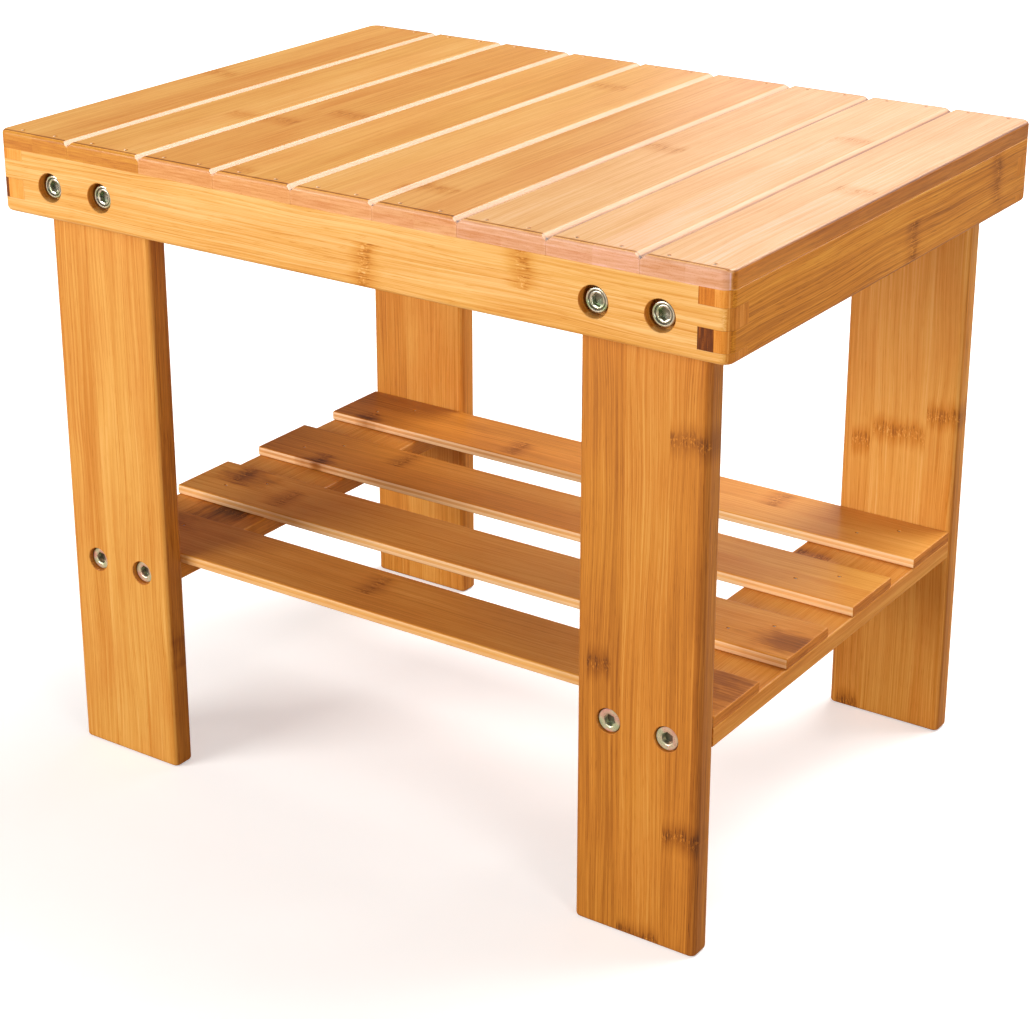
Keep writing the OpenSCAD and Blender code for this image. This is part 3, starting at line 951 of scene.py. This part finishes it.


# The seat from left to right: the slats on the right carry a painted sheen, paler and pinker in their tint
# and dimmed towards the back, a fainter painted highlight in their grooves, and more painted shade deep in
# them.
SEAT_MARKS = {1: [(4, -11, 9)], 2: [(-55, 10, 8)], 3: [(-54, -10, 9), (-28, 9, 10)], 4: [(-131, -13, 8)],
              5: [(87, -7, 10), (-112, 19, 3)], 6: [(-108, -10, 10)], 7: [(2, -9, 10)], 8: [(60, 10, 9)],
              9: [(-14, 8, 9)]}
SEAT_TONES = (0.01, 0.0, -0.01, 0.02, 0.0, 0.04, -0.01, -0.02, -0.05)
SEAT_BLEACH = (0.0, 0.0, 0.0, 0.0, 0.15, 0.3, 0.8, 0.85, 1.0)
GROOVE_PALE = (0.85, 0.85, 0.85, 0.85, 0.8, 0.7, 0.55, 0.5, 0.45)
SEAM_DARK = (0.1, 0.1, 0.1, 0.15, 0.2, 0.3, 0.45, 0.45, 0.45)
SEAM_REACH = (0.9, 0.9, 0.9, 0.9, 1.1, 1.3, 1.5, 1.6, 1.6)
for number, tone, bleach, groove_pale, seam_dark, seam_reach in zip(
        range(1, 10), SEAT_TONES, SEAT_BLEACH, GROOVE_PALE, SEAM_DARK, SEAM_REACH):
    name = f"seat_slat_{number}"
    low, high = lo_hi(name)
    board_piece(name, seat_slat(number, low, high), [nail_bores(SEAT_NAILS, SEAT_NAIL_LENGTH, low, high)],
                "seat_bamboo", ("y", "x", "z"), strip=21.2, phase=0.0, tone=tone,
                end_tone=0.06 if number < 3 else -0.03, node_depth=0.6, marks=SEAT_MARKS[number],
                groove_pale=groove_pale, worn=(1.0, 1.0, seam_reach), seam_dark=seam_dark,
                # the outer slats' flanks are darkened and tinted like the end rails: painted shade on the
                # seat's end faces
                side_tone=0.36 if number in (1, 9) else 0.0, side_tint=(1.0, 0.92, 0.55),
                # fade and tint paint the sheen: paler and pinker on the right slats, dimmer towards the back
                fade=0.045 * bleach, tint=(1.0, 0.99 + 0.13 * bleach, 1.0 + 1.15 * bleach),
                end_tint=(0.91, 0.83, 0.38) if number < 3 else (1.0, 0.97, 1.5))

for face, name in ((-1, "front_rail"), (1, "back_rail")):
    low, high = lo_hi(name)
    marks = [(20, -5, 10), (98, 7, 8)] if face < 0 else [(-70, -5, 10), (60, 7, 8)]
    board_piece(name, apron_rail("x", face),
                [finger_notches(), rail_bores(face), nail_bores(SEAT_NAILS, SEAT_NAIL_LENGTH, low, high)],
                "rail_bamboo", ("x", "z", "y"), strip=20.0, phase=5.0, end_tone=0.30, marks=marks,
                worn=(0.0, 1.0, 0.0), tint=(1.0, 1.02, 1.05), end_tint=(1.0, 0.93, 0.8))
# The end rails' tone 0.35 and deep yellow tint paint shade onto their faces, which are turned from the key
# light.
for side, name in ((-1, "left_rail"), (1, "right_rail")):
    low, high = lo_hi(name)
    marks = [(19, -6, 10), (105, 4, 12)] if side > 0 else [(-40, -5, 10)]
    board_piece(name, apron_rail("y", side),
                [side_gaps(side), nail_bores(SEAT_NAILS, SEAT_NAIL_LENGTH, low, high)],
                "rail_bamboo", ("y", "z", "x"), strip=20.0, phase=4.0, tone=0.35,
                end_tone=0.13 if side > 0 else 0.0, node_depth=0.75, marks=marks, worn=(0.0, 1.0, 0.0),
                dark_ply=(0.0, 0.66, 0.0) if side > 0 else (-2.2, 0.75, 0.0),
                tint=(1.0, 0.94, 0.50), end_tint=(1.0, 0.86, 1.1))

# side_tone darkens a leg's side faces: painted shade, deepest on the front-left leg, whose side lies in the
# seat's shadow.
LEG_LOOKS = {
    "leg_front_left": {"tone": 0.02, "side_tone": 0.25, "stain_a": (-91.0, 38.0, 11.0)},
    "leg_front_right": {"tone": 0.20, "band": (26.0, 40.0, 0.12), "node_depth": 0.85, "fade": -0.03,
                        "marks": [(83, 22, 9.5), (-94, 21.5, 8.5), (-149, 2, 10.5), (-24, -19, 6)]},
    "leg_back_left": {"tone": 0.12, "side_tone": 0.1, "marks": [(60, -12, 10), (-80, 10, 10)]},
    "leg_back_right": {"tone": -0.04, "side_tone": 0.22, "fade": -0.08, "strip": 28.0, "phase": -14.0,
                       "marks": [(5, 0, 14), (18, 23, 9), (-3, -20, 5), (-147, -20, 6)]}}
for name, (side, face) in LEGS.items():
    low, high = lo_hi(name)
    board_piece(name, board(low, high, "z", LEG_ROUND, LEG_END_ROUND), [leg_bores(side, face)],
                "leg_bamboo", ("z", "x", "y"), end_tone=0.2, **{"phase": -8.0, **LEG_LOOKS[name]})

# On the left shelf rail the dark cloud near the front paints the shadow beside the front-left leg.
for side, name in ((-1, "shelf_rail_left"), (1, "shelf_rail_right")):
    radius, deep = SHANK_R + FIT, SCREW_FACE[side] + SCREW_LENGTH + FIT
    screw_clearance = [(ON_AXIS, -PAST), (radius, -PAST), (radius, deep), (ON_AXIS, deep)]
    low, high = lo_hi(name)
    drilled = bored([p for s, _, p in fastener_places(SCREW_SPACING, LEG_OUTER_Y, SCREW_Z) if s == side],
                    screw_clearance)
    board_piece(name, board(low, high, "y", SHELF_ROUND, 0.4 * MM),
                [drilled, nail_bores(SHELF_NAILS, SHELF_NAIL_LENGTH, low, high)],
                "shelf_bamboo", ("y", "x", "z"), strip=19.0, phase=-9.0, side_tone=0.07,
                stain_a=(-52.0, 6.0, 22.0) if side < 0 else CLEAN,
                marks=[(63, -18, 9)] if side > 0 else [(-52, 10, 9)])

SHELF_CREAM = (0.92, 0.68, 0.44)
# fade darkens the slats towards their left ends, most on slats 1 and 2: painted shadow. The clouds at the
# slats' left ends partly paint the same shadow; those at the right ends are stains.
SHELF_LOOKS = {
    1: {"tone": 0.09, "fade": -0.10, "side_pale": 0.8, "stain_a": (-152.0, -23.0, 9.0),
        "marks": [(-58, -8, 9), (88, 8, 9), (-150, -14, 5)]},
    2: {"tone": 0.07, "fade": -0.09, "side_pale": 0.7, "stain_a": (-134.0, -23.0, 9.0),
        "marks": [(-97, 8, 9), (-134, -13, 6)]},
    3: {"tone": 0.02, "side_pale": 0.7, "stain_a": (-150.0, 7.0, 13.0), "stain_b": (168.0, -4.0, 15.0),
        "marks": [(-153, 10, 9), (-116, -3, 11)]},
    4: {"tone": 0.06, "fade": -0.02, "side_pale": 0.35, "stain_a": (-158.0, 4.0, 18.0),
        "stain_b": (148.0, 2.0, 28.0), "marks": [(-17, 4, 10)]}}
for number, look in SHELF_LOOKS.items():
    name = f"shelf_slat_{number}"
    low, high = lo_hi(name)
    board_piece(name, board(low, high, "x", SHELF_ROUND, 0.5 * MM),
                [nail_bores(SHELF_NAILS, SHELF_NAIL_LENGTH, low, high)],
                "shelf_bamboo", ("x", "y", "z"), strip=20.0, phase=0.0, node_depth=0.75, side_tone=-0.16,
                cream=SHELF_CREAM, **look)

bolt_places = list(fastener_places(BOLT_SPACING, HALF_Y - BOLT_FACE, BOLT_Z))
screw_places = list(fastener_places(SCREW_SPACING, LEG_OUTER_Y, SCREW_Z, SCREW_FACE))
insert_places = list(fastener_places(BOLT_SPACING, LEG_OUTER_Y, BOLT_Z))
fastener_piece("apron_bolts", [(bolt(p), p) for *_, p in bolt_places], "bolt_zinc")
fastener_piece("shelf_screws", [(screw(p), p) for *_, p in screw_places], "zinc")
fastener_piece("leg_inserts", [(insert(p), p) for *_, p in insert_places], "plain_steel")
fastener_piece("seat_nails", [(nail(p, SEAT_NAIL_LENGTH), down(p)) for p in SEAT_NAILS], "plain_steel", 50)
fastener_piece("shelf_nails", [(nail(p, SHELF_NAIL_LENGTH), down(p)) for p in SHELF_NAILS], "plain_steel", 50)


# ---------------- floor, light and camera

centre = (Vector(cad_box[0]) + Vector(cad_box[1])) / 2


def from_centre(azimuth, elevation, distance):
    """A point seen from the stool's centre. Azimuth 0 is the front and 90 the right-hand end."""
    a, e = math.radians(azimuth), math.radians(elevation)
    return centre + distance * Vector((math.sin(a) * math.cos(e), -math.cos(a) * math.cos(e), math.sin(e)))


def soft_light(name, azimuth, elevation, distance, size, power, colour):
    """A rectangular light that shines at the stool's centre and is never seen itself."""
    data = bpy.data.lights.new(name, "AREA")
    data.shape, (data.size, data.size_y) = "RECTANGLE", size
    data.energy, data.color = power, colour
    obj = object_of(name, data)
    obj.location = from_centre(azimuth, elevation, distance)
    obj.rotation_euler = (centre - obj.location).to_track_quat("-Z", "Y").to_euler()
    obj.visible_camera = False


soft_light("key", -30, 16, 2.2, (1.2, 0.9), 43, (1.0, 0.97, 0.93))
soft_light("right_fill", 62, 12, 2.0, (0.5, 0.8), 10, (1.0, 0.96, 0.92))
soft_light("top_box", 155, 58, 2.2, (1.7, 1.1), 50, (1.0, 0.98, 0.96))
soft_light("groove_box", 160, 35, 2.3, (0.9, 0.6), 10, (1.0, 0.98, 0.96))
soft_light("backdrop_glow", 178.5, 17.0, 2.4, (2.7, 0.8), 11.0, (1.0, 0.88, 0.90))


def seen_brighter(g, glow, shader):
    """Adds a glow that only the camera sees, for a white studio that doesn't flood the stool."""
    direct = g.node("LightPath", {}).outputs["Is Camera Ray"]
    extra = g.node("Emission", {"Strength": g.times(direct, glow)})
    return g.node("AddShader", {0: shader, 1: extra.outputs[0]})


world = bpy.data.worlds.new("studio")
bpy.context.scene.world = world
g = Graph(world)
sky = g.node("Background", {"Color": WHITE, "Strength": 0.2})
bright = g.node("Background", {"Color": WHITE, "Strength": 1.0})
blend = g.node("MixShader", {0: g.node("LightPath", {}).outputs["Is Camera Ray"],
                             1: sky.outputs[0], 2: bright.outputs[0]})
g.tree.links.new(blend.outputs[0], g.tree.nodes.new("ShaderNodeOutputWorld").inputs[0])

floor_data = loft([[Vector((r * math.cos(2 * math.pi * i / 64), r * math.sin(2 * math.pi * i / 64), z))
                    for i in range(64)] for r, z in ((7.0, -0.05), (7.0, -0.0003))])
floor = object_of("floor", mesh_of("floor", floor_data))
paper = bpy.data.materials.new("paper")
g = Graph(paper)
spot = g.node("TexCoord", {}).outputs["Object"]
fibre = g.noise(spot, scale=90.0, detail=3.0)
pale_paper = g.ramp(fibre, [(0.0, (0.86, 0.86, 0.855)), (1.0, (0.90, 0.90, 0.895))])
warm_bounce = (0.46, 0.36, 0.26, 1)
direct_ray = g.node("LightPath", {}).outputs["Is Camera Ray"]
matt = g.node("BsdfDiffuse", {"Color": g.mix(direct_ray, warm_bounce, pale_paper),
                              "Normal": g.bump(fibre, 0.02 * MM, 0.3)})
glow = g.step(g.vmath("LENGTH", spot), 0.6, 1.8, 0.40, 1.0)
lit = seen_brighter(g, glow, matt.outputs[0])
g.tree.links.new(lit.outputs[0], g.tree.nodes.new("ShaderNodeOutputMaterial").inputs[0])
floor.data.materials.append(paper)

CAMERA_AT = (34.15, 21.59, 1.148)     # azimuth and elevation seen from the stool's centre, and distance
HEADING, PITCH = 34.26, 20.29          # where the camera looks, in degrees
camera = object_of("camera", bpy.data.cameras.new("camera"))
bpy.context.scene.camera = camera
camera.data.sensor_width = 36.0
camera.data.lens = 84.0
camera.data.shift_y = -0.12
camera.location = from_centre(*CAMERA_AT)
camera.rotation_euler = (math.radians(90 - PITCH), 0, math.radians(HEADING))
bpy.context.scene.view_settings.view_transform = "Standard"
